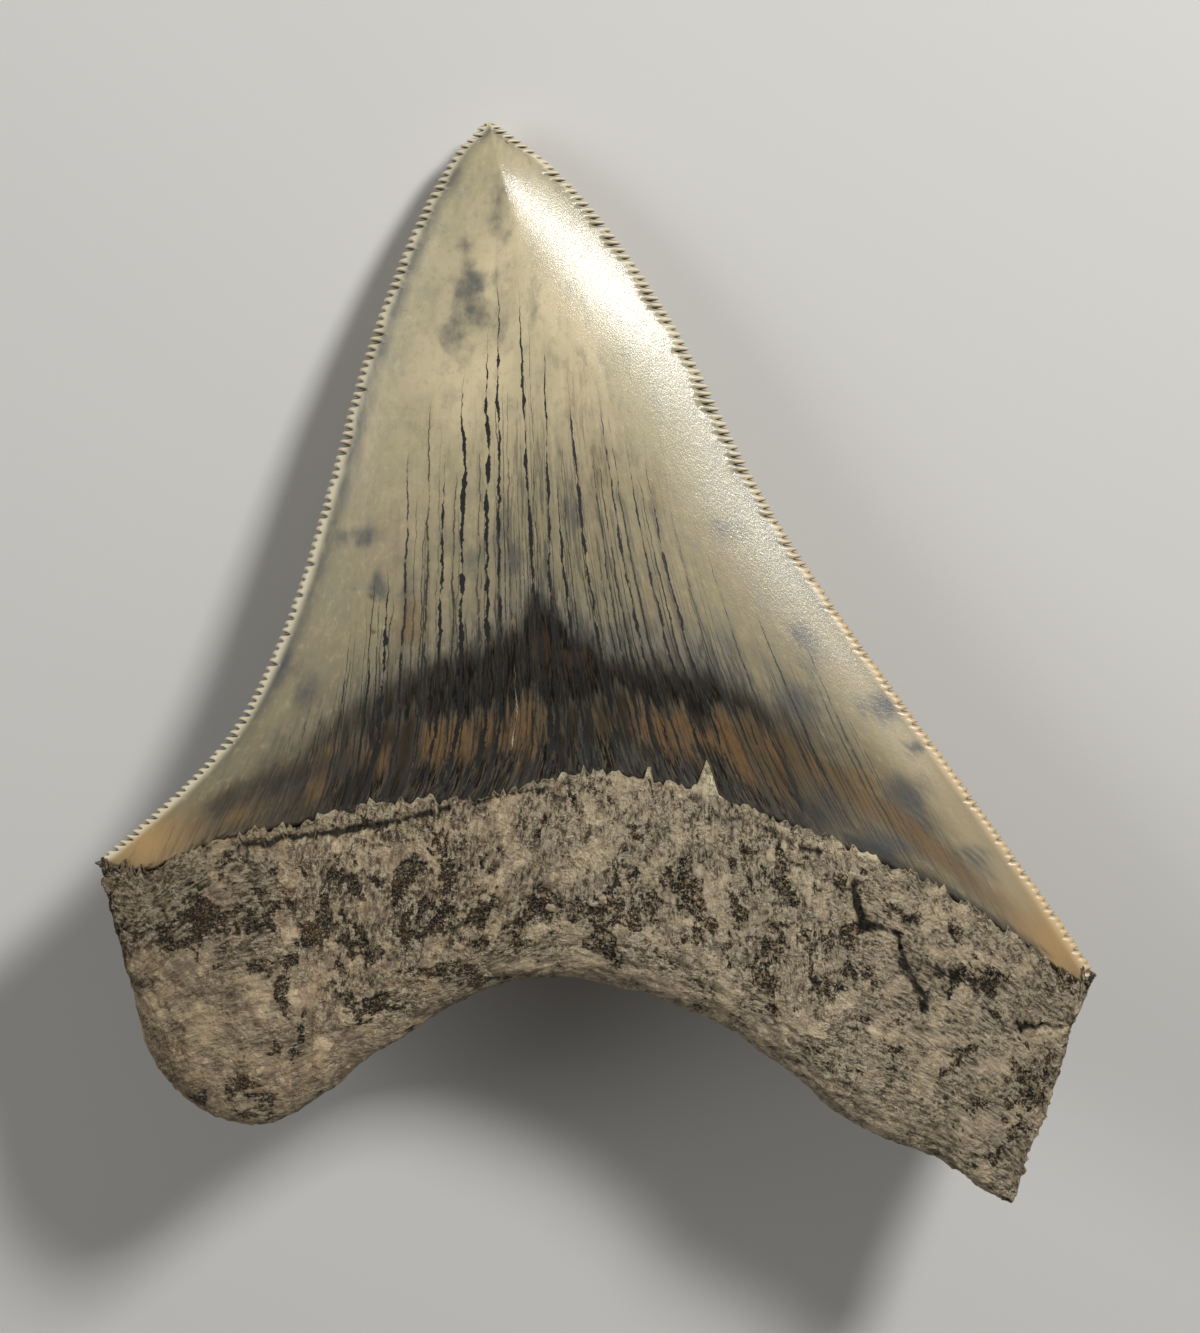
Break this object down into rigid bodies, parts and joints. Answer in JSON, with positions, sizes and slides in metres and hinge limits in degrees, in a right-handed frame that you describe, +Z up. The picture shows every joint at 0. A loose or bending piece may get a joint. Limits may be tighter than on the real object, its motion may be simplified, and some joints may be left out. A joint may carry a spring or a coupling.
{
  "type": "fossil megalodon tooth",
  "caption": "Fossil shark tooth lying face up: a triangular crown with serrated cutting edges on a thick two-lobed root with one broken lobe.",
  "frame": {"origin": "on the surface that the tooth rests on, under the middle of its box", "axes": "+Z up, out of the labial face that shows; +Y across the base of the crown towards its tip; +X along the base, from the whole root lobe to the broken one"},
  "size_m": [0.1018, 0.101, 0.0271],
  "materials": {
    "root": "rough, flaked and mottled grey-brown fossil bone",
    "enamel": "glossy grey-cream enamel with dark hairline cracks and a dark band above the root"
  },
  "bodies": {
    "root": {"megalodon_tooth": "root"}
  },
  "joints": []
}
